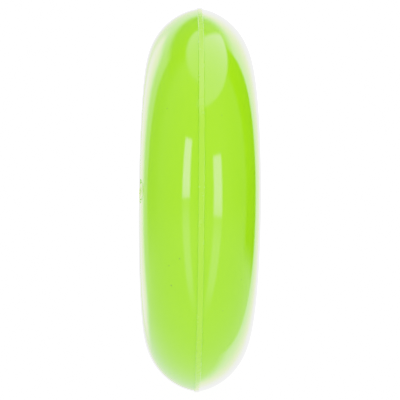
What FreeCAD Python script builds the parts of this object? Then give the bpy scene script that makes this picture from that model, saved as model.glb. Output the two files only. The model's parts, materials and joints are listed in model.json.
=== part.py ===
"""Flying ring: a hollow ring of soft glossy plastic, moulded as two halves.

The ring stands upright. Its axis is X, the origin is its centre, and +Z is up.
The tube's section is two shallow arcs that meet in a slight crease at the ring's
mid-plane, where T-shaped joining strips hold the halves together on the outside
and round the hole. An air valve with a push-in plug sits in the left flank.
"""
import os

import FreeCAD
import Part
import Sketcher

DRIVING_SIZES = [
    # alias, millimetres (or degrees), what it is
    ("ring_radius", 100.0, "outside of the outer joining strip"),
    ("crease_drop", 0.3, "how far the shells' crease lies below the strip's land"),
    ("tube_half_width", 26.5, "half of the tube's width along the ring's axis"),
    ("tube_half_depth", 30.4, "half of the tube's depth, crease to crease"),
    ("wall_thickness", 2.2, "shell wall"),
    ("web_thickness", 1.2, "part of the strip between the two halves"),
    ("strip_width", 2.4, "visible width of a joining strip"),
    ("strip_seat", 1.0, "depth of the rebate that the strip's head sits in"),
    ("strip_chamfer", 0.5, "sloped sides of the strip's land"),
    ("flange_width", 4.0, "thickened rim of each half, measured from the mid-plane"),
    ("flange_depth", 5.0, "thickened rim of each half, measured from the crease"),
    ("valve_angle", 2.7, "degrees that the valve lies above the horizontal"),
    ("valve_reach", 8.0, "how far out from the flank's crest the valve's centre lies"),
    ("boss_radius", 10.0, "round thickening of the wall behind the valve"),
    ("boss_depth", 5.0, "from the flank's surface to the boss's inner face"),
    ("boss_overlap", 0.2, "how far the boss runs into the wall"),
    ("grommet_radius", 5.0, "valve grommet where it passes through the wall"),
    ("grommet_lip_radius", 8.5, "lip that holds the grommet from inside"),
    ("grommet_lip_thickness", 2.0, "thickness of that lip"),
    ("grommet_sink", 0.35, "grommet's outer face below the flank's surface"),
    ("seat_radius", 3.8, "counterbore that the plug's head sits in"),
    ("seat_depth", 1.6, "bottom of the counterbore below the flank's surface"),
    ("air_hole_radius", 2.05, "air passage through the grommet"),
    ("notch_width", 1.6, "nail notch beside the plug's head"),
    ("notch_reach", 4.6, "outer end of the nail notch from the valve's axis"),
    ("notch_start", 3.0, "inner end of the nail notch, under the plug's head"),
    ("plug_head_radius", 3.55, "plug's head"),
    ("plug_sink", 0.35, "plug's outer face below the flank's surface"),
    ("plug_edge", 0.35, "broken edge of the plug's head"),
    ("plug_shank_radius", 2.0, "plug's shank, a running fit in the air passage"),
    ("plug_length", 9.0, "plug's tip below the flank's surface"),
    ("plug_tip_radius", 1.2, "blunt end of the plug's tip"),
    ("plug_tip_taper", 1.6, "length of the plug's tapered tip"),
    ("dish_radius", 2.6, "dish in the plug's head"),
    ("dish_depth", 0.6, "depth of that dish"),
]

CREASE = "(sizes.ring_radius - sizes.crease_drop)"
TUBE_CENTRE = "(" + CREASE + " - sizes.tube_half_depth)"
HOLE_CREASE = "(" + TUBE_CENTRE + " - sizes.tube_half_depth)"
HOLE_LAND = "(" + HOLE_CREASE + " - sizes.crease_drop)"
ARC_OFFSET = "((sizes.tube_half_depth ^ 2 - sizes.tube_half_width ^ 2) / (2 * sizes.tube_half_width))"
ARC_RADIUS = "(sizes.tube_half_width + " + ARC_OFFSET + ")"
HALF_WEB = "(sizes.web_thickness / 2)"
HALF_STRIP = "(sizes.strip_width / 2)"

# The valve stands square to the flank, on the line from the centre of the flank's arc.
# Its own frame has its origin at that centre, and its -X axis points out of the flank.
COS_VALVE = "cos(sizes.valve_angle * 1 deg)"
SIN_VALVE = "sin(sizes.valve_angle * 1 deg)"
ARC_CENTRE_Y = "(-1 * " + TUBE_CENTRE + " * " + COS_VALVE + ")"
ARC_CENTRE_Z = "(" + TUBE_CENTRE + " * " + SIN_VALVE + ")"
VALVE_LEAN = "asin(sizes.valve_reach / " + ARC_RADIUS + ")"
VALVE_FRAME = "placement(vector(%s; %s; %s); rotation(vector(0; %s; %s); %s))" % (
    ARC_OFFSET, ARC_CENTRE_Y, ARC_CENTRE_Z, SIN_VALVE, COS_VALVE, VALVE_LEAN)
# the same frame as a sketch on the YZ plane sees it, whose own axes are Y, Z and X
VALVE_SKETCH_FRAME = "placement(vector(%s; %s; %s); rotation(vector(%s; %s; 0); %s))" % (
    ARC_CENTRE_Y, ARC_CENTRE_Z, ARC_OFFSET, SIN_VALVE, COS_VALVE, VALVE_LEAN)

CUT_OVERRUN = "1"  # millimetres that a cut runs on past the surface
FULL_TURN = 360.0

ORIGIN_POINT = (-1, 1)
START, END, CENTRE = 1, 2, 3
LEFT, RIGHT = -1, 1


def make_sheet(doc):
    """Write the driving sizes, one alias to a row."""
    sheet = doc.addObject("Spreadsheet::Sheet", "sizes")
    for row, (alias, value, meaning) in enumerate(DRIVING_SIZES, start=1):
        sheet.set("A%d" % row, alias)
        sheet.set("B%d" % row, str(value))
        sheet.set("C%d" % row, meaning)
        sheet.setAlias("B%d" % row, alias)
    doc.recompute()


def number(owner, expression):
    """The present value of an expression, as a plain number."""
    value = owner.evalExpression(expression)
    return float(getattr(value, "Value", value))


def bind(sketch, constraint, expression):
    """Add a constraint whose size follows the expression."""
    index = sketch.addConstraint(constraint)
    sketch.setExpression("Constraints[%d]" % index, expression)


def pin(sketch, element, across=None, up=None):
    """Hold a sketch point at distances from the sketch's origin."""
    if across is not None:
        value = number(sketch, across)
        bind(sketch, Sketcher.Constraint("DistanceX", *ORIGIN_POINT, *element, value), across)
    if up is not None:
        value = number(sketch, up)
        bind(sketch, Sketcher.Constraint("DistanceY", *ORIGIN_POINT, *element, value), up)


def origin_plane(body, role):
    for feature in body.Origin.OriginFeatures:
        if feature.Role == role:
            return feature
    raise RuntimeError("no origin plane " + role)


def new_body(doc, name):
    body = doc.addObject("PartDesign::Body", name)
    body.Label = name
    return body


def new_sketch(body, name, role="XZ_Plane"):
    sketch = body.newObject("Sketcher::SketchObject", name)
    sketch.AttachmentSupport = [(origin_plane(body, role), "")]
    sketch.MapMode = "FlatFace"
    return sketch


def draw_outline(sketch, corners):
    """A closed outline of straight lines, each corner held by two expressions."""
    points = []
    for across, up in corners:
        points.append(FreeCAD.Vector(number(sketch, across), number(sketch, up), 0))
    count = len(points)
    for i in range(count):
        sketch.addGeometry(Part.LineSegment(points[i], points[(i + 1) % count]), False)
    for i in range(count):
        sketch.addConstraint(Sketcher.Constraint("Coincident", i, END, (i + 1) % count, START))
        pin(sketch, (i, START), *corners[i])


def draw_box(sketch, left, right, low, high):
    draw_outline(sketch, [(left, low), (right, low), (right, high), (left, high)])


def draw_wall(sketch, side):
    """The shell wall's section: two concentric arcs closed by the rims at the mid-plane."""
    sign = "%d * " % side
    centre_across = "-1 * " + sign + ARC_OFFSET
    rim_across = sign + HALF_WEB
    outer_radius = ARC_RADIUS
    inner_radius = "(" + ARC_RADIUS + " - sizes.wall_thickness)"
    centre = FreeCAD.Vector(number(sketch, centre_across), number(sketch, TUBE_CENTRE), 0)
    rim = number(sketch, rim_across)
    ends = []
    for radius_expression in (outer_radius, inner_radius):
        radius = number(sketch, radius_expression)
        rise = (radius ** 2 - (rim - centre.x) ** 2) ** 0.5
        low = FreeCAD.Vector(rim, centre.y - rise, 0)
        high = FreeCAD.Vector(rim, centre.y + rise, 0)
        crest = FreeCAD.Vector(centre.x + side * radius, centre.y, 0)
        sketch.addGeometry(Part.Arc(low, crest, high), False)
        ends.append((low, high))
    sketch.addGeometry(Part.LineSegment(ends[0][0], ends[1][0]), False)
    sketch.addGeometry(Part.LineSegment(ends[0][1], ends[1][1]), False)
    outer_arc, inner_arc, low_rim, high_rim = 0, 1, 2, 3
    low_end, high_end = (END, START) if side == LEFT else (START, END)
    for arc, rim_end in ((outer_arc, START), (inner_arc, END)):
        sketch.addConstraint(Sketcher.Constraint("Coincident", arc, low_end, low_rim, rim_end))
        sketch.addConstraint(Sketcher.Constraint("Coincident", arc, high_end, high_rim, rim_end))
    sketch.addConstraint(Sketcher.Constraint("Coincident", outer_arc, CENTRE, inner_arc, CENTRE))
    sketch.addConstraint(Sketcher.Constraint("Vertical", low_rim))
    sketch.addConstraint(Sketcher.Constraint("Vertical", high_rim))
    pin(sketch, (outer_arc, CENTRE), centre_across, TUBE_CENTRE)
    pin(sketch, (low_rim, START), rim_across)
    pin(sketch, (high_rim, START), rim_across)
    for arc, expression in ((outer_arc, outer_radius), (inner_arc, inner_radius)):
        radius = number(sketch, expression)
        bind(sketch, Sketcher.Constraint("Radius", arc, radius), expression)


def spin(doc, body, kind, sketch, name):
    """Turn a sketch round the body's X axis, adding (Revolution) or cutting (Groove)."""
    before = volume_of(body)
    feature = body.newObject("PartDesign::" + kind, name)
    feature.Profile = sketch
    feature.ReferenceAxis = (sketch, ["H_Axis"])
    feature.Angle = FULL_TURN
    doc.recompute()
    change = volume_of(body) - before
    if (kind == "Revolution") != (change > 0):
        raise RuntimeError("%s changed the volume by %.3f" % (name, change))


def volume_of(body):
    return 0.0 if body.Tip is None or body.Shape.isNull() else body.Shape.Volume


def push(doc, body, kind, sketch, name, length, reverse):
    """Pad or pocket a sketch along X by a bound length."""
    before = volume_of(body)
    feature = body.newObject("PartDesign::" + kind, name)
    feature.Profile = sketch
    feature.Reversed = reverse
    feature.setExpression("Length", length)
    doc.recompute()
    change = volume_of(body) - before
    if (kind == "Pad") != (change > 0):
        raise RuntimeError("%s changed the volume by %.3f" % (name, change))


def make_half_shell(doc, name, side):
    """One moulded half: wall, thickened rims, and the rebates for the strips' heads."""
    body = new_body(doc, name)
    sign = "%d * " % side
    wall = new_sketch(body, name + "_wall_section")
    draw_wall(wall, side)
    spin(doc, body, "Revolution", wall, name + "_wall")

    rim_face = sign + HALF_WEB
    flange_end = sign + "sizes.flange_width"
    inside_wall = "(sizes.wall_thickness / 2)"
    outer_flange = new_sketch(body, name + "_outer_flange_section")
    draw_box(outer_flange, flange_end, rim_face,
             CREASE + " - sizes.flange_depth", CREASE + " - " + inside_wall)
    spin(doc, body, "Revolution", outer_flange, name + "_outer_flange")
    hole_flange = new_sketch(body, name + "_hole_flange_section")
    draw_box(hole_flange, flange_end, rim_face,
             HOLE_CREASE + " + " + inside_wall, HOLE_CREASE + " + sizes.flange_depth")
    spin(doc, body, "Revolution", hole_flange, name + "_hole_flange")

    rebate_end = sign + HALF_STRIP
    outer_rebate = new_sketch(body, name + "_outer_rebate_section")
    draw_box(outer_rebate, rebate_end, rim_face,
             CREASE + " - sizes.strip_seat", CREASE + " + sizes.strip_seat")
    spin(doc, body, "Groove", outer_rebate, name + "_outer_rebate")
    hole_rebate = new_sketch(body, name + "_hole_rebate_section")
    draw_box(hole_rebate, rebate_end, rim_face,
             HOLE_CREASE + " - sizes.strip_seat", HOLE_CREASE + " + sizes.strip_seat")
    spin(doc, body, "Groove", hole_rebate, name + "_hole_rebate")
    return body


def new_valve_circle(body, name, radius, place):
    """A circle square to the valve's axis, at a place along it from the arc's centre."""
    sketch = new_sketch(body, name, "YZ_Plane")
    along = "placement(vector(0; 0; %s); rotation(vector(0; 0; 1); 0))" % place
    sketch.setExpression("AttachmentOffset", VALVE_SKETCH_FRAME + " * " + along)
    size = number(sketch, radius)
    sketch.addGeometry(Part.Circle(FreeCAD.Vector(0, 0, 0), FreeCAD.Vector(0, 0, 1), size), False)
    sketch.addConstraint(Sketcher.Constraint("Coincident", 0, CENTRE, *ORIGIN_POINT))
    bind(sketch, Sketcher.Constraint("Radius", 0, size), radius)
    return sketch


def open_valve_seat(doc, body):
    """Thicken the left flank behind the valve, and cut the hole for its grommet."""
    boss = new_valve_circle(body, "valve_boss_outline", "sizes.boss_radius",
                            depth("sizes.boss_depth"))
    push(doc, body, "Pad", boss, "valve_boss",
         "sizes.boss_depth - sizes.wall_thickness + sizes.boss_overlap", True)
    hole = new_valve_circle(body, "valve_hole_outline", "sizes.grommet_radius", "0")
    push(doc, body, "Pocket", hole, "valve_hole", ARC_RADIUS + " + " + CUT_OVERRUN, False)


def make_joining_strip(doc, name, head_land, seat, web_end, outward):
    """A hoop of T section: a head in the rebates and a web between the halves.

    outward is "1" where the land faces away from the ring's axis, and "-1" round the hole.
    """
    body = new_body(doc, name)
    shoulder = head_land + " - " + outward + " * sizes.strip_chamfer"
    land = HALF_STRIP + " - sizes.strip_chamfer"
    half = [(HALF_WEB, web_end), (HALF_WEB, seat), (HALF_STRIP, seat),
            (HALF_STRIP, shoulder), (land, head_land)]
    mirrored = [("-1 * (" + across + ")", up) for across, up in reversed(half)]
    section = new_sketch(body, name + "_section")
    draw_outline(section, half + mirrored)
    spin(doc, body, "Revolution", section, name + "_hoop")
    return body


def depth(sink):
    """Place along the valve's own X axis for a depth below the flank's surface."""
    return "-1 * (" + ARC_RADIUS + " - (" + sink + "))"


def make_grommet(doc, name):
    """Rubber grommet: sleeve through the wall, inner lip, counterbore, air passage, notch.

    The nail notch is on the ring's rim side, so the ring is its own mirror image.
    """
    body = new_body(doc, name)
    face = depth("sizes.grommet_sink")
    seat = depth("sizes.seat_depth")
    lip = depth("sizes.boss_depth")
    back = depth("sizes.boss_depth + sizes.grommet_lip_thickness")
    section = new_sketch(body, name + "_section")
    draw_outline(section, [
        (face, "sizes.seat_radius"), (face, "sizes.grommet_radius"),
        (lip, "sizes.grommet_radius"), (lip, "sizes.grommet_lip_radius"),
        (back, "sizes.grommet_lip_radius"), (back, "sizes.air_hole_radius"),
        (seat, "sizes.air_hole_radius"), (seat, "sizes.seat_radius")])
    spin(doc, body, "Revolution", section, name + "_turned")
    notch = new_sketch(body, name + "_notch_outline", "YZ_Plane")
    notch.setExpression(".AttachmentOffset.Base.z", seat)
    draw_box(notch, "-1 * sizes.notch_reach", "-1 * sizes.notch_start",
             "-1 * sizes.notch_width / 2", "sizes.notch_width / 2")
    push(doc, body, "Pocket", notch, name + "_nail_notch", "sizes.seat_depth", False)
    body.setExpression("Placement", VALVE_FRAME)
    return body


def make_plug(doc, name):
    """Push-in plug: dished head with a broken edge, straight shank, tapered tip."""
    body = new_body(doc, name)
    face = depth("sizes.plug_sink")
    dish = depth("sizes.plug_sink + sizes.dish_depth")
    edge = depth("sizes.plug_sink + sizes.plug_edge")
    seat = depth("sizes.seat_depth")
    taper = depth("sizes.plug_length - sizes.plug_tip_taper")
    tip = depth("sizes.plug_length")
    section = new_sketch(body, name + "_section")
    draw_outline(section, [
        (dish, "0"), (face, "sizes.dish_radius"),
        (face, "sizes.plug_head_radius - sizes.plug_edge"), (edge, "sizes.plug_head_radius"),
        (seat, "sizes.plug_head_radius"), (seat, "sizes.plug_shank_radius"),
        (taper, "sizes.plug_shank_radius"), (tip, "sizes.plug_tip_radius"), (tip, "0")])
    spin(doc, body, "Revolution", section, name + "_turned")
    body.setExpression("Placement", VALVE_FRAME)
    return body


def check_document(doc):
    """Every object must have computed without an error."""
    for item in doc.Objects:
        if "Invalid" in item.State or "Error" in item.State:
            raise RuntimeError("%s is %s" % (item.Name, item.State))


def check_and_write(bodies):
    """Check each sub-part's shape and write it to its own file."""
    for body in bodies:
        if body.Shape.isNull() or not body.Shape.isValid():
            raise RuntimeError(body.Label + " has no valid shape")
    os.makedirs("parts", exist_ok=True)
    for body in bodies:
        body.Shape.exportStep("parts/%s.step" % body.Label)
        box = body.Shape.BoundBox
        print("%-22s %9.1f mm3  x %.2f..%.2f  y %.2f..%.2f  z %.2f..%.2f" % (
            body.Label, body.Shape.Volume,
            box.XMin, box.XMax, box.YMin, box.YMax, box.ZMin, box.ZMax))


def main():
    doc = FreeCAD.newDocument("flying_ring")
    make_sheet(doc)
    left = make_half_shell(doc, "left_half_shell", LEFT)
    open_valve_seat(doc, left)
    right = make_half_shell(doc, "right_half_shell", RIGHT)
    outer_strip = make_joining_strip(
        doc, "outer_joining_strip", "sizes.ring_radius",
        CREASE + " - sizes.strip_seat", CREASE + " - sizes.flange_depth", "1")
    hole_strip = make_joining_strip(
        doc, "hole_joining_strip", HOLE_LAND,
        HOLE_CREASE + " + sizes.strip_seat", HOLE_CREASE + " + sizes.flange_depth", "-1")
    grommet = make_grommet(doc, "valve_grommet")
    plug = make_plug(doc, "valve_plug")
    doc.recompute()
    check_document(doc)
    check_and_write([left, right, outer_strip, hole_strip, grommet, plug])


main()
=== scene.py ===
"""Looks of the flying ring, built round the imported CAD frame.

The ring stands on its edge: its axis is X, its centre is the origin, and the floor touches
its lowest point. Lengths are in metres. MM turns millimetres into metres.
"""
import bmesh
import bpy
import json
import math
import random
from mathutils import Matrix, Vector, noise


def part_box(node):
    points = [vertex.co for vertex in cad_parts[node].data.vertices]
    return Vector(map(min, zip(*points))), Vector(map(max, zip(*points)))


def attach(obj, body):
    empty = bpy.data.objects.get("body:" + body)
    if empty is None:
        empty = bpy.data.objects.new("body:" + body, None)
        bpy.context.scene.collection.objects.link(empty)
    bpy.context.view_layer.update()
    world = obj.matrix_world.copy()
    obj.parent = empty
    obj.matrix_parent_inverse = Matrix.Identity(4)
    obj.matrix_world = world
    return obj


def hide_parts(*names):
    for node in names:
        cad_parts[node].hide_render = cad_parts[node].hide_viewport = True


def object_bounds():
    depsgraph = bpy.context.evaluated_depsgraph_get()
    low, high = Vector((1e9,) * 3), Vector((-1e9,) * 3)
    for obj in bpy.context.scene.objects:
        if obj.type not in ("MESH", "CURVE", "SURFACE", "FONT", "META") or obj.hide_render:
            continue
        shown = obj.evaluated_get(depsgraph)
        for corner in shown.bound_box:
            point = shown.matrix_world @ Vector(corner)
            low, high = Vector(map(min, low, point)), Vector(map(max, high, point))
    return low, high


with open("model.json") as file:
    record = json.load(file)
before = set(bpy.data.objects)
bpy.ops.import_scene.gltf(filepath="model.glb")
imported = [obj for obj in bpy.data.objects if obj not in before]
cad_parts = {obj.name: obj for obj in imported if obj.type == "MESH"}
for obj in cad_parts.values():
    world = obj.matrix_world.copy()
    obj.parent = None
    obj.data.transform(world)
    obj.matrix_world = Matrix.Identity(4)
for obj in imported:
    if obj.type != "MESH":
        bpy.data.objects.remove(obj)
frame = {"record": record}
CAD_LOW, CAD_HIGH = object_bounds()
MM = 0.001
LEFT, RIGHT = -1, 1

# ---- the ring's own geometry, read from the frame -----------------------------------------
MOUNTS = {mount["name"]: mount for mount in frame["record"]["mounts"]}
RING_RADIUS = CAD_HIGH[2]
HOLE_RADIUS = MOUNTS["centre_hole"]["dims"]["r_mm"] * MM
CREASE_DROP = 0.3 * MM
HALF_WIDTH = -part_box("left_half_shell")[0].x
HALF_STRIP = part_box("outer_joining_strip")[1].x
CREASE = RING_RADIUS - CREASE_DROP
HOLE_CREASE = HOLE_RADIUS + CREASE_DROP
TUBE_CENTRE = (CREASE + HOLE_CREASE) / 2
HALF_DEPTH = (CREASE - HOLE_CREASE) / 2
ARC_OFFSET = (HALF_DEPTH ** 2 - HALF_WIDTH ** 2) / (2 * HALF_WIDTH)
ARC_RADIUS = HALF_WIDTH + ARC_OFFSET
WALL = 2.2 * MM
HALF_WEB = 0.6 * MM
STRIP_SEAT = 1.0 * MM
FLANGE_WIDTH = 4.0 * MM
FLANGE_DEPTH = 5.0 * MM
BEAD_LEFT = 1.02 * MM
BEAD_RIGHT = 0.90 * MM
BEVEL_RIGHT = 1.12 * MM
BEVEL_DROP = 0.085 * MM
LAP_REACH = 1.30 * MM
LAP_TUCK = 0.06 * MM
BEAD_WANDER = (
    # wavelength, height
    (9 * MM, 0.11 * MM),
    (3 * MM, 0.04 * MM),
)
BEAD_DIP_LENGTH = 6 * MM
BEAD_DIP = 0.04 * MM

# the valve stands square to the flank, so its axis runs through the centre of the flank's arc
VALVE = Vector(MOUNTS["air_valve"]["pos_m"])
VALVE_OUT = Vector(MOUNTS["air_valve"]["axis"]).normalized()
VALVE_TURN = math.atan2(VALVE.z, -VALVE.y)
VALVE_LEAN = math.acos(-VALVE_OUT.x)
VALVE_AROUND = Vector((0, math.sin(VALVE_TURN), math.cos(VALVE_TURN)))
VALVE_AWAY = VALVE_AROUND.cross(VALVE_OUT)
VALVE_RADIUS_OUT = math.hypot(VALVE.y, VALVE.z)
GROMMET_RADIUS = 5.0 * MM
GROMMET_SINK = 0.35 * MM
SEAT_RADIUS = 3.8 * MM
SEAT_DEPTH = 1.6 * MM
BOSS_RADIUS = 10.0 * MM
BOSS_DEPTH = 5.0 * MM
LIP_RADIUS = 8.5 * MM
LIP_THICKNESS = 2.0 * MM
NOTCH_WIDTH = 1.6 * MM
NOTCH_REACH = 4.6 * MM
AIR_HOLE_RADIUS = 2.05 * MM
NOTCH_FLOOR = SEAT_DEPTH - 0.2 * MM
PLUG_SINK = 0.35 * MM
PLUG_HEAD_RADIUS = 3.55 * MM
PLUG_SHANK_RADIUS = 1.85 * MM
PLUG_RIB_RADIUS = 2.0 * MM
PLUG_RIBS = 3
PLUG_FIRST_RIB = 2.6 * MM
PLUG_RIB_PITCH = 1.4 * MM
PLUG_RIB_SLOPE = 0.3 * MM
PLUG_TAPER = 7.4 * MM
PLUG_TIP = 9.0 * MM
PLUG_TIP_RADIUS = 1.2 * MM
DISH_RADIUS = 2.6 * MM
DISH_DEPTH = 0.55 * MM
DISH_STEPS = 8
PIN_POINT = 0.02 * MM

# ---- how finely the mouldings are meshed --------------------------------------------------
STEPS_ROUND = 360
OUTER_STEPS = 96
INNER_STEPS = 36
STRIP_STEPS = 720
GROMMET_STEPS = 120
PLUG_STEPS = 64
PATCH_RINGS = 6
# the outer wall's rows and the hole joint's four corners come before the inner wall
INNER_START = OUTER_STEPS + 5
# grid cells round the ring and across the section; both windows have the same edge count
OUTER_WINDOW = (14, 20)
INNER_WINDOW = (22, 12)


# ---- mesh helpers -------------------------------------------------------------------------
def new_object(name, points, faces, sharp_degrees=40):
    """A mesh object with smooth shading, sharp only where faces meet at more than the angle."""
    mesh = bpy.data.meshes.new(name)
    mesh.from_pydata([tuple(p) for p in points], [], faces)
    mesh.validate()
    mesh.shade_smooth()
    mesh.set_sharp_from_angle(angle=math.radians(sharp_degrees))
    thing = bpy.data.objects.new(name, mesh)
    bpy.context.scene.collection.objects.link(thing)
    return thing


def drop_unused(points, faces):
    """Keep only the points that faces use."""
    used = sorted({index for face in faces for index in face})
    place = {old: new for new, old in enumerate(used)}
    return [points[i] for i in used], [tuple(place[i] for i in face) for face in faces]


def round_ring(x, radius, turn):
    """A point at a place along the ring's axis, a radius from it, and a turn from -Y towards +Z."""
    return Vector((x, -radius * math.cos(turn), radius * math.sin(turn)))


def by_valve(depth, around=0.0, away=0.0):
    """A point at a depth below the flank's surface at the valve, and two distances from its axis.

    around runs round the ring, and away runs towards the ring's rim.
    """
    return VALVE - depth * VALVE_OUT + around * VALVE_AROUND + away * VALVE_AWAY


# ---- the moulded surface ------------------------------------------------------------------
MOULD_WAVES = (
    # wavelength, depth
    (60 * MM, 0.06 * MM),
    (17 * MM, 0.025 * MM),
    (7 * MM, 0.006 * MM),
)


def mould_wave(point):
    """How far a soft moulding lies under its drawn surface: never above it."""
    depth = 0.0
    for number, (length, height) in enumerate(MOULD_WAVES):
        wave = noise.noise(point / length + Vector((7.3 * number, 2.1, 4.7)))
        depth += height * (0.5 + 0.5 * wave)
    return depth


def arc_end(radius, x):
    """The angle along the section's arc, from the crest, at which it reaches x."""
    return math.acos((abs(x) + ARC_OFFSET) / radius)


def wall_point(side, radius, along, turn, waves):
    """A point of the shell's wall: along is the angle from the flank's crest towards the rim."""
    normal = Vector((side * math.cos(along), math.sin(along)))
    centre = Vector((-side * ARC_OFFSET, TUBE_CENTRE))
    spot = centre + radius * normal
    point = round_ring(spot.x, spot.y, turn)
    if waves:
        spot -= normal * mould_wave(point)
        point = round_ring(spot.x, spot.y, turn)
    return point


def shell_rows(side):
    """The shell's closed section as rows: each takes a turn and gives a point."""
    rim = side * HALF_WEB
    head = side * HALF_STRIP
    lip = side * FLANGE_WIDTH
    inner_radius = ARC_RADIUS - WALL
    outer_end = arc_end(ARC_RADIUS, head)
    inner_end = arc_end(inner_radius, lip)
    rows = []

    def on_arc(radius, along, waves):
        rows.append(lambda turn: wall_point(side, radius, along, turn, waves))

    def corner(x, radius):
        rows.append(lambda turn: round_ring(x, radius, turn))

    for i in range(OUTER_STEPS + 1):
        on_arc(ARC_RADIUS, outer_end * (1 - 2 * i / OUTER_STEPS), True)
    corner(head, HOLE_CREASE + STRIP_SEAT)
    corner(rim, HOLE_CREASE + STRIP_SEAT)
    corner(rim, HOLE_CREASE + FLANGE_DEPTH)
    corner(lip, HOLE_CREASE + FLANGE_DEPTH)
    for i in range(INNER_STEPS + 1):
        on_arc(inner_radius, -inner_end * (1 - 2 * i / INNER_STEPS), False)
    corner(lip, CREASE - FLANGE_DEPTH)
    corner(rim, CREASE - FLANGE_DEPTH)
    corner(rim, CREASE - STRIP_SEAT)
    corner(head, CREASE - STRIP_SEAT)
    return rows


def window_loop(middle_row, row_count, turn_count, centre_turn):
    """The grid places round a window, anticlockwise from the middle of its +turn side."""
    half_rows, half_turns = row_count // 2, turn_count // 2
    loop = []
    for row in range(0, half_rows + 1):
        loop.append((middle_row + row, centre_turn + half_turns))
    for turn in range(half_turns - 1, -half_turns - 1, -1):
        loop.append((middle_row + half_rows, centre_turn + turn))
    for row in range(half_rows - 1, -half_rows - 1, -1):
        loop.append((middle_row + row, centre_turn - half_turns))
    for turn in range(-half_turns + 1, half_turns + 1):
        loop.append((middle_row - half_rows, centre_turn + turn))
    for row in range(-half_rows + 1, 0):
        loop.append((middle_row + row, centre_turn + half_turns))
    return loop


def build_shell(name, side, with_valve):
    """One half moulding: a closed section turned round the ring, with the valve's hole."""
    rows = shell_rows(side)
    # the grid starts at the valve's turn, so that a grid line runs through the valve
    turns = [VALVE_TURN + 2 * math.pi * i / STEPS_ROUND for i in range(STEPS_ROUND)]
    points = [row(turn) for row in rows for turn in turns]
    count = len(rows)

    def index(row, turn):
        return (row % count) * STEPS_ROUND + turn % STEPS_ROUND

    # the grid rows that lie nearest to the valve's axis, on the wall's two faces
    outer_share = VALVE_LEAN / arc_end(ARC_RADIUS, HALF_STRIP)
    inner_share = VALVE_LEAN / arc_end(ARC_RADIUS - WALL, FLANGE_WIDTH)
    outer_middle = round(OUTER_STEPS / 2 * (1 - outer_share))
    inner_middle = INNER_START + round(INNER_STEPS / 2 * (1 + inner_share))
    windows = []
    if with_valve:
        windows = [(outer_middle,) + OUTER_WINDOW, (inner_middle,) + INNER_WINDOW]

    def in_window(row, turn):
        turn = (turn + STEPS_ROUND // 2) % STEPS_ROUND - STEPS_ROUND // 2
        for middle, turn_count, row_count in windows:
            if -turn_count // 2 <= turn < turn_count // 2:
                if middle - row_count // 2 <= row < middle + row_count // 2:
                    return True
        return False

    faces = []
    for row in range(count):
        for turn in range(STEPS_ROUND):
            if not in_window(row, turn):
                faces.append((index(row, turn), index(row, turn + 1),
                              index(row + 1, turn + 1), index(row + 1, turn)))
    if with_valve:
        cut_valve_hole(side, points, faces, index, outer_middle, inner_middle)
    if side == RIGHT:
        faces = [tuple(reversed(face)) for face in faces]
    points, faces = drop_unused(points, faces)
    return new_object(name, points, faces)


def cut_valve_hole(side, points, faces, index, outer_middle, inner_middle):
    """Close both windows with rings of faces that narrow to round edges, and join the edges."""
    inner_radius = ARC_RADIUS - WALL
    outer_end = arc_end(ARC_RADIUS, HALF_STRIP)
    inner_end = arc_end(inner_radius, FLANGE_WIDTH)
    turn_step = 2 * math.pi / STEPS_ROUND

    def outer_along(row):
        return outer_end * (1 - 2 * row / OUTER_STEPS)

    def inner_along(row):
        return -inner_end * (1 - 2 * (row - INNER_START) / INNER_STEPS)

    def patch(radius, middle, window, along_of, sign, hole_radius, waves):
        """Rings from the window's edge to the hole, each point on the wall itself."""
        turn_count, row_count = window
        loop = window_loop(middle, row_count, turn_count, 0)
        total = len(loop)
        previous = [index(row, turn) for row, turn in loop]
        for ring in range(1, PATCH_RINGS + 1):
            share = ring / PATCH_RINGS
            current = []
            for k, (row, turn) in enumerate(loop):
                angle = 2 * math.pi * k / total
                hole_turn = hole_radius * math.cos(angle) / VALVE_RADIUS_OUT
                hole_along = VALVE_LEAN + sign * hole_radius * math.sin(angle) / radius
                now_turn = turn * turn_step * (1 - share) + hole_turn * share
                now_along = along_of(row) * (1 - share) + hole_along * share
                current.append(len(points))
                points.append(wall_point(side, radius, now_along, VALVE_TURN + now_turn, waves))
            bridge(faces, previous, current)
            previous = current
        return previous

    def level(loop, radius, depth):
        """The loop again, on a circle of the given radius round the valve's axis, at a depth."""
        again = []
        for k in range(len(loop)):
            angle = 2 * math.pi * k / len(loop)
            again.append(len(points))
            points.append(by_valve(depth, radius * math.cos(angle), -radius * math.sin(angle)))
        return again

    outer_edge = patch(ARC_RADIUS, outer_middle, OUTER_WINDOW, outer_along, -1, GROMMET_RADIUS,
                       True)
    inner_edge = patch(inner_radius, inner_middle, INNER_WINDOW, inner_along, 1, BOSS_RADIUS,
                       False)
    hole_floor = level(outer_edge, GROMMET_RADIUS, BOSS_DEPTH)
    boss_rim = level(outer_edge, BOSS_RADIUS, BOSS_DEPTH)
    bridge(faces, outer_edge, hole_floor)
    bridge(faces, hole_floor, boss_rim)
    # the inner window is walked the other way, as its rows run back towards the outer rim
    mirrored = [inner_edge[-k % len(inner_edge)] for k in range(len(inner_edge))]
    bridge(faces, boss_rim, mirrored)


def bridge(faces, first, second):
    """Faces between two closed loops of the same count."""
    total = len(first)
    for k in range(total):
        after = (k + 1) % total
        faces.append((first[k], second[k], second[after], first[after]))


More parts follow.
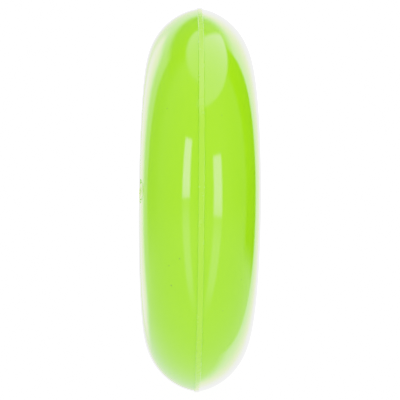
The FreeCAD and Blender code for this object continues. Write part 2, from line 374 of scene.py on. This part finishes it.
# ---- lathe pieces -------------------------------------------------------------------------
def rounded(profile, corners, steps=5):
    """A closed profile with some of its corners rounded: corners maps an index to a radius."""
    out = []
    total = len(profile)
    for i, spot in enumerate(profile):
        here = Vector(spot)
        radius = corners.get(i, 0.0)
        if not radius:
            out.append(here)
            continue
        before = (Vector(profile[i - 1]) - here).normalized()
        after = (Vector(profile[(i + 1) % total]) - here).normalized()
        half = before.angle(after) / 2
        reach = radius / math.tan(half)
        centre = here + (before + after).normalized() * (radius / math.sin(half))
        start = here + before * reach - centre
        sweep = math.pi - 2 * half
        turn = 1 if start.x * (here - centre).y - start.y * (here - centre).x > 0 else -1
        for k in range(steps + 1):
            angle = turn * sweep * k / steps
            c, s = math.cos(angle), math.sin(angle)
            out.append(centre + Vector((start.x * c - start.y * s, start.x * s + start.y * c)))
    return out


def lathe(name, profile, steps, closed, shift=None, stand=None):
    """Turn a profile of (x, radius) round the X axis.

    shift moves a point of a row a little; stand takes it to another frame.
    """
    points, faces = [], []
    ends = {}
    for j, (x, radius) in enumerate(profile):
        for i in range(steps):
            angle = 2 * math.pi * i / steps
            point = Vector((x, -radius * math.cos(angle), radius * math.sin(angle)))
            if shift:
                point = shift(point, j, angle)
            points.append(stand(point) if stand else point)
    rows = len(profile)
    for j in range(rows if closed else rows - 1):
        for i in range(steps):
            a = j * steps + i
            b = j * steps + (i + 1) % steps
            c = ((j + 1) % rows) * steps + (i + 1) % steps
            d = ((j + 1) % rows) * steps + i
            faces.append((a, b, c, d))
    if not closed:
        faces.append(tuple(reversed(range(steps))))
        faces.append(tuple(range((rows - 1) * steps, rows * steps)))
    return new_object(name, points, faces, 35)


def fix_normals(thing):
    """Point every face of a closed mesh outwards."""
    shape = bmesh.new()
    shape.from_mesh(thing.data)
    bmesh.ops.remove_doubles(shape, verts=shape.verts, dist=1e-7)
    bmesh.ops.recalc_face_normals(shape, faces=shape.faces)
    shape.to_mesh(thing.data)
    shape.free()
    return thing


def build_strip(name, land, sign):
    """A joining strip: a web between the halves, and a low bead that laps onto both of them.

    The bead's left side is steep and its right one is bevelled. Both sides go on a little
    under the shells' surface, so that no gap shows.
    """
    crease = land - sign * CREASE_DROP
    seat = crease - sign * STRIP_SEAT
    web_end = crease - sign * FLANGE_DEPTH
    fall = HALF_DEPTH - math.sqrt(ARC_RADIUS ** 2 - (LAP_REACH + ARC_OFFSET) ** 2)
    lap = crease - sign * (fall + LAP_TUCK)
    profile = [(-HALF_WEB, web_end), (HALF_WEB, web_end), (HALF_WEB, seat), (HALF_STRIP, seat),
               (HALF_STRIP, lap), (LAP_REACH, lap), (BEVEL_RIGHT, land - sign * BEVEL_DROP),
               (BEAD_RIGHT, land), (-BEAD_LEFT, land), (-LAP_REACH, lap), (-HALF_STRIP, lap),
               (-HALF_STRIP, seat), (-HALF_WEB, seat)]
    soft = rounded(profile, {6: 0.12 * MM, 7: 0.4 * MM, 8: 0.16 * MM})

    def uneven(point, row, angle):
        """Hand-trimmed: the bead's line wanders a little and its height varies a little."""
        radius = math.hypot(point.y, point.z)
        if sign * (radius - seat) < STRIP_SEAT / 4:
            return point
        spot = Vector((0, point.y, point.z))
        wander = sum(noise.noise(spot / length) * height for length, height in BEAD_WANDER)
        dip = (0.5 + 0.5 * noise.noise(spot / BEAD_DIP_LENGTH + Vector((3, 1, 2)))) * BEAD_DIP
        scale = (radius - sign * (mould_wave(point) + dip)) / radius
        return Vector((point.x + wander, point.y * scale, point.z * scale))

    return fix_normals(lathe(name, soft, STRIP_STEPS, True, uneven))


def stand_in_valve(point):
    """From (depth, around, away) on the valve's axis to the ring's frame."""
    return by_valve(point.x, point.z, -point.y)


def build_grommet():
    """The valve's rubber grommet, flush with the flank, with a counterbore and a nail notch."""
    lip, back = BOSS_DEPTH, BOSS_DEPTH + LIP_THICKNESS
    profile = [(GROMMET_SINK, SEAT_RADIUS), (GROMMET_SINK, GROMMET_RADIUS), (lip, GROMMET_RADIUS),
               (lip, LIP_RADIUS), (back, LIP_RADIUS), (back, AIR_HOLE_RADIUS),
               (SEAT_DEPTH, AIR_HOLE_RADIUS), (SEAT_DEPTH, SEAT_RADIUS)]
    soft = rounded(profile, {0: 0.25 * MM, 1: 0.3 * MM, 3: 0.3 * MM, 4: 0.4 * MM, 5: 0.3 * MM,
                             6: 0.2 * MM})

    def notch(point, row, angle):
        """Press the nail notch into the face, on the rim side of the plug's head."""
        radius = math.hypot(point.y, point.z)
        if point.x < SEAT_DEPTH and radius < NOTCH_REACH and -point.y > 0:
            if abs(point.z) < NOTCH_WIDTH / 2:
                return Vector((max(point.x, NOTCH_FLOOR), point.y, point.z))
        return point

    turned = lathe("grommet_turned", soft, GROMMET_STEPS, True, notch, stand_in_valve)
    return fix_normals(turned)


def build_plug():
    """The push-in plug: dished round head, ribbed shank, blunt tip."""
    face, head, shank = PLUG_SINK, PLUG_HEAD_RADIUS, PLUG_SHANK_RADIUS
    profile = []
    for i in range(DISH_STEPS + 1):
        share = i / DISH_STEPS
        hollow = DISH_DEPTH * (1 - share ** 2) ** 1.2
        profile.append((face + hollow, max(DISH_RADIUS * share, PIN_POINT)))
    profile += [(face, head), (SEAT_DEPTH, head), (SEAT_DEPTH, shank)]
    for rib in range(PLUG_RIBS):
        start = PLUG_FIRST_RIB + rib * PLUG_RIB_PITCH
        profile += [(start, shank), (start + PLUG_RIB_SLOPE, PLUG_RIB_RADIUS),
                    (start + 2 * PLUG_RIB_SLOPE, PLUG_RIB_RADIUS),
                    (start + 3 * PLUG_RIB_SLOPE, shank)]
    profile += [(PLUG_TAPER, shank), (PLUG_TIP, PLUG_TIP_RADIUS), (PLUG_TIP, PIN_POINT)]
    soft = rounded(profile, {DISH_STEPS + 1: 0.35 * MM, DISH_STEPS + 2: 0.2 * MM})
    return fix_normals(lathe("plug_turned", soft, PLUG_STEPS, False, None, stand_in_valve))


# ---- materials ----------------------------------------------------------------------------
def new_material(name):
    material = bpy.data.materials.new(name)
    material.use_nodes = True
    tree = material.node_tree
    return material, tree, tree.nodes["Principled BSDF"]


def link(tree, output, socket):
    tree.links.new(output, socket)


def noise_node(tree, scale, detail=2.0, roughness=0.5):
    """Procedural noise in the piece's own space."""
    place = tree.nodes.new("ShaderNodeTexCoord")
    texture = tree.nodes.new("ShaderNodeTexNoise")
    texture.inputs["Scale"].default_value = scale
    texture.inputs["Detail"].default_value = detail
    texture.inputs["Roughness"].default_value = roughness
    link(tree, place.outputs["Object"], texture.inputs["Vector"])
    return texture.outputs["Fac"]


def ramp(tree, value, low, high, from_value=0.0, to_value=1.0):
    node = tree.nodes.new("ShaderNodeMapRange")
    node.inputs["From Min"].default_value = low
    node.inputs["From Max"].default_value = high
    node.inputs["To Min"].default_value = from_value
    node.inputs["To Max"].default_value = to_value
    link(tree, value, node.inputs["Value"])
    return node.outputs["Result"]


def mix_colour(tree, factor, first, second):
    """Mix two colours, each a tuple or a socket."""
    node = tree.nodes.new("ShaderNodeMix")
    node.data_type = "RGBA"
    link(tree, factor, node.inputs["Factor"])
    colour_a, colour_b = node.inputs[6], node.inputs[7]
    for socket, value in ((colour_a, first), (colour_b, second)):
        if isinstance(value, tuple):
            socket.default_value = value + (1.0,)
        else:
            link(tree, value, socket)
    return node.outputs[2]


LIME = (0.266, 0.664, 0.002)
LIME_PALE = (0.273, 0.677, 0.004)
LIME_DEEP = (0.255, 0.650, 0.001)
# the strip's two colours are paler and bluer than the shell's lime: lime with a painted sheen that
# stands in for the seam band's paler, blurred reflection
BEAD_LIME_AND_SHEEN = (0.300, 0.690, 0.022)
BEAD_LIME_PALE_AND_SHEEN = (0.315, 0.700, 0.036)


SPECK_BROWN = (0.13, 0.22, 0.02)
SPECK_COUNT = 20
SPECK_SEED = 5
SPECK_REACH = 0.75  # of the half width, to either side of the seam


def gloss_plastic(name, first, second, roughness):
    """Soft glossy vinyl: even colour with a faint drift, and a skin that is not quite flat."""
    material, tree, shader = new_material(name)
    drift = ramp(tree, noise_node(tree, 45.0, 3.0), 0.35, 0.65)
    link(tree, mix_colour(tree, drift, first, second), shader.inputs["Base Color"])
    shader.inputs["IOR"].default_value = 1.5
    rough = ramp(tree, noise_node(tree, 180.0, 4.0), 0.3, 0.7, roughness * 0.8, roughness * 1.3)
    link(tree, rough, shader.inputs["Roughness"])
    bump = tree.nodes.new("ShaderNodeBump")
    bump.inputs["Strength"].default_value = 0.25
    bump.inputs["Distance"].default_value = 0.00002
    link(tree, noise_node(tree, 900.0, 3.0), bump.inputs["Height"])
    link(tree, bump.outputs["Normal"], shader.inputs["Normal"])
    return material


def add_specks(material):
    """Grass and dust specks scattered at random, each a small dark spot with a soft edge."""
    tree = material.node_tree
    shader = tree.nodes["Principled BSDF"]
    colour = shader.inputs["Base Color"].links[0].from_socket
    place = tree.nodes.new("ShaderNodeTexCoord")
    chance = random.Random(SPECK_SEED)
    for _ in range(SPECK_COUNT):
        x = chance.uniform(-SPECK_REACH, SPECK_REACH) * HALF_WIDTH
        turn = chance.uniform(0, 2 * math.pi)
        size = chance.uniform(0.40, 0.65) * MM
        strength = chance.uniform(0.2, 0.6)
        reach = math.sqrt(ARC_RADIUS ** 2 - (abs(x) + ARC_OFFSET) ** 2)
        apart = tree.nodes.new("ShaderNodeVectorMath")
        apart.operation = "DISTANCE"
        apart.inputs[1].default_value = round_ring(x, TUBE_CENTRE + reach, turn)
        link(tree, place.outputs["Object"], apart.inputs[0])
        mask = ramp(tree, apart.outputs["Value"], size, size * 0.4, 0.0, strength)
        colour = mix_colour(tree, mask, colour, SPECK_BROWN)
    link(tree, colour, shader.inputs["Base Color"])


def dress(thing, material, body, nodes):
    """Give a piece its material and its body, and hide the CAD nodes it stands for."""
    thing.data.materials.clear()
    thing.data.materials.append(material)
    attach(thing, body)
    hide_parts(*nodes)


# ---- the studio ---------------------------------------------------------------------------
BACKDROP = 8.0
ROOM_LIGHT = 0.9
SOFT_BOXES = (
    # what it is, azimuth, elevation, soft edges across and up, brightness
    ("right wall", (70, 200), (-90, 90), (40, 2), 0.6),
    ("left wall", (-200, -95), (-90, 90), (25, 2), 0.5),
    ("table", (-200, 200), (-100, -10), (2, 25), 1.25),
    ("flag on the right", (100, 135), (-15, 50), (10, 10), 0.1),
    ("gap above the left sheet", (-190, -105), (45, 65), (20, 5), 0.3),
    ("left sheet", (-190, -120), (-20, 45), (5, 10), 1.5),
    ("left panel", (-155, -135), (-20, 35), (10, 10), 3.0),
    ("right sheet", (130, 190), (-50, 45), (5, 15), 2.5),
    ("ceiling, right", (-30, 145), (50, 100), (10, 3), 2.8),
    ("ceiling, left", (-200, -30), (65, 100), (10, 5), 2.2),
    ("left strip box", (-45, -33), (1, 31), (4, 3), 8.0),
    ("left strip box in the table", (-45, -33), (-50, -3), (5, 30), 3.0),
    ("right strip box", (37, 51), (-8, 22), (4, 3), 7.0),
    ("right strip box in the table", (37, 51), (-50, -10), (5, 30), 3.0),
)
WHITE_LEVEL = 8.0
TONE = (
    # scene light, shown light
    (0.0, 0.0), (0.2, 0.2), (0.4, 0.4), (0.7, 0.615), (1.0, 0.805), (1.15, 0.845), (1.4, 0.872),
    (2.0, 0.893), (3.2, 0.91), (6.0, 1.0), (WHITE_LEVEL, 1.0),
)


def math_node(tree, operation, *values):
    node = tree.nodes.new("ShaderNodeMath")
    node.operation = operation
    for socket, value in zip(node.inputs, values):
        if isinstance(value, (int, float)):
            socket.default_value = value
        else:
            link(tree, value, socket)
    return node.outputs[0]


def edge(tree, value, low, high):
    """A smooth step from 0 at low to 1 at high; reversed if low is above high."""
    node = tree.nodes.new("ShaderNodeMapRange")
    node.interpolation_type = "SMOOTHSTEP"
    ends = (low, high, 0.0, 1.0) if low < high else (high, low, 1.0, 0.0)
    for socket, number in zip(("From Min", "From Max", "To Min", "To Max"), ends):
        node.inputs[socket].default_value = number
    link(tree, value, node.inputs["Value"])
    return node.outputs["Result"]


def cover(tree, under, mask, brightness):
    """Lay a panel of the given brightness over what is under it."""
    node = tree.nodes.new("ShaderNodeMix")
    node.data_type = "FLOAT"
    link(tree, mask, node.inputs[0])
    if isinstance(under, float):
        node.inputs[2].default_value = under
    else:
        link(tree, under, node.inputs[2])
    node.inputs[3].default_value = brightness
    return node.outputs[0]


def make_studio():
    """A plain light tent of even soft boxes, placed by their direction from the ring.

    Azimuth is in degrees from -Y, growing towards +X; elevation is in degrees.
    """
    world = bpy.data.worlds.new("studio")
    bpy.context.scene.world = world
    world.use_nodes = True
    tree = world.node_tree
    tree.nodes.clear()
    place = tree.nodes.new("ShaderNodeTexCoord")
    split = tree.nodes.new("ShaderNodeSeparateXYZ")
    link(tree, place.outputs["Generated"], split.inputs[0])
    behind = math_node(tree, "MULTIPLY", split.outputs["Y"], -1.0)
    turn = math_node(tree, "ARCTAN2", split.outputs["X"], behind)
    azimuth = math_node(tree, "DEGREES", turn)
    elevation = math_node(tree, "DEGREES", math_node(tree, "ARCSINE", split.outputs["Z"]))

    light = ROOM_LIGHT
    for _, across, up, softness, brightness in SOFT_BOXES:
        mask = 1.0
        for value, (low, high), soft in zip((azimuth, elevation), (across, up), softness):
            half = soft / 2
            mask = math_node(tree, "MULTIPLY", mask, edge(tree, value, low - half, low + half))
            mask = math_node(tree, "MULTIPLY", mask, edge(tree, value, high + half, high - half))
        light = cover(tree, light, mask, brightness)

    background = tree.nodes.new("ShaderNodeBackground")
    link(tree, light, background.inputs["Strength"])
    background.inputs["Color"].default_value = (1, 1, 1, 1)
    plain = tree.nodes.new("ShaderNodeBackground")
    plain.inputs["Color"].default_value = (1, 1, 1, 1)
    plain.inputs["Strength"].default_value = BACKDROP
    path = tree.nodes.new("ShaderNodeLightPath")
    choose = tree.nodes.new("ShaderNodeMixShader")
    link(tree, path.outputs["Is Camera Ray"], choose.inputs[0])
    link(tree, background.outputs[0], choose.inputs[1])
    link(tree, plain.outputs[0], choose.inputs[2])
    out = tree.nodes.new("ShaderNodeOutputWorld")
    link(tree, choose.outputs[0], out.inputs["Surface"])


def set_tone():
    """A camera's highlight shoulder: straight up to the mid tones, then a slow roll to white."""
    view = bpy.context.scene.view_settings
    view.view_transform = "Standard"
    view.look = "None"
    view.use_curve_mapping = True
    mapping = view.curve_mapping
    mapping.white_level = (WHITE_LEVEL, WHITE_LEVEL, WHITE_LEVEL)
    curve = mapping.curves[3]
    for light, shown in TONE[1:-1]:
        curve.points.new(light / WHITE_LEVEL, shown)
    for point in curve.points:
        point.handle_type = "AUTO_CLAMPED"
    mapping.update()


FLOOR_HALF = 6.0
FLOOR_GLOW = 5.0


def make_floor():
    """A plain pale floor that touches the ring's lowest point."""
    half = FLOOR_HALF
    level = CAD_LOW[2]
    corners = [(-half, -half, level), (half, -half, level), (half, half, level),
               (-half, half, level)]
    floor = new_object("floor", corners, [(0, 1, 2, 3)])
    material, tree, shader = new_material("pale_floor")
    shader.inputs["Base Color"].default_value = (0.93, 0.93, 0.93, 1)
    shader.inputs["Roughness"].default_value = 0.9
    shader.inputs["Specular IOR Level"].default_value = 0.0
    # lit from below like a light table, so that it stays pale and keeps a faint contact shadow
    shader.inputs["Emission Color"].default_value = (1, 1, 1, 1)
    shader.inputs["Emission Strength"].default_value = FLOOR_GLOW
    floor.data.materials.append(material)
    # the studio's lower half lights the ring from below, so only the camera sees the floor
    floor.visible_glossy = False
    floor.visible_diffuse = False
    floor.visible_shadow = False


CAMERA_DISTANCE = 3.5 * RING_RADIUS
CAMERA_YAW = math.radians(1.0)
CAMERA_ROLL = math.radians(0.45)
CAMERA_LENS = 58.03
CAMERA_SHIFT = (0.0075, 0.0002)


def make_camera():
    """Level with the ring's centre, looking along +Y, a degree round to the left."""
    data = bpy.data.cameras.new("camera")
    data.lens = CAMERA_LENS
    data.sensor_width = 36.0
    data.shift_x, data.shift_y = CAMERA_SHIFT
    camera = bpy.data.objects.new("camera", data)
    bpy.context.scene.collection.objects.link(camera)
    camera.location = (-CAMERA_DISTANCE * math.sin(CAMERA_YAW),
                       -CAMERA_DISTANCE * math.cos(CAMERA_YAW), 0.0)
    look = (-camera.location).to_track_quat("-Z", "Y")
    camera.rotation_mode = "QUATERNION"
    turn = Matrix.Rotation(CAMERA_ROLL, 3, "Z").to_quaternion()
    camera.rotation_quaternion = look @ turn
    bpy.context.scene.camera = camera


# ---- put it together ----------------------------------------------------------------------
make_camera()
make_studio()
make_floor()
set_tone()

shell_plastic = gloss_plastic("lime_vinyl", LIME, LIME_PALE, 0.05)
# the strip's material carries a painted sheen in its paler colours
strip_plastic_and_sheen = gloss_plastic("lime_vinyl_strip_and_sheen", BEAD_LIME_AND_SHEEN, BEAD_LIME_PALE_AND_SHEEN, 0.24)
valve_rubber = gloss_plastic("valve_rubber", LIME_DEEP, LIME, 0.35)
plug_rubber = gloss_plastic("plug_rubber", (0.42, 0.66, 0.12), (0.45, 0.70, 0.16), 0.35)

add_specks(shell_plastic)

dress(fix_normals(build_shell("left_shell", LEFT, True)), shell_plastic, "ring",
      ["left_half_shell"])
dress(fix_normals(build_shell("right_shell", RIGHT, False)), shell_plastic, "ring",
      ["right_half_shell"])
dress(build_strip("outer_strip", RING_RADIUS, 1), strip_plastic_and_sheen, "ring",
      ["outer_joining_strip"])
dress(build_strip("hole_strip", HOLE_RADIUS, -1), strip_plastic_and_sheen, "ring",
      ["hole_joining_strip"])
dress(build_grommet(), valve_rubber, "ring", ["valve_grommet"])
dress(build_plug(), plug_rubber, "plug", ["valve_plug"])
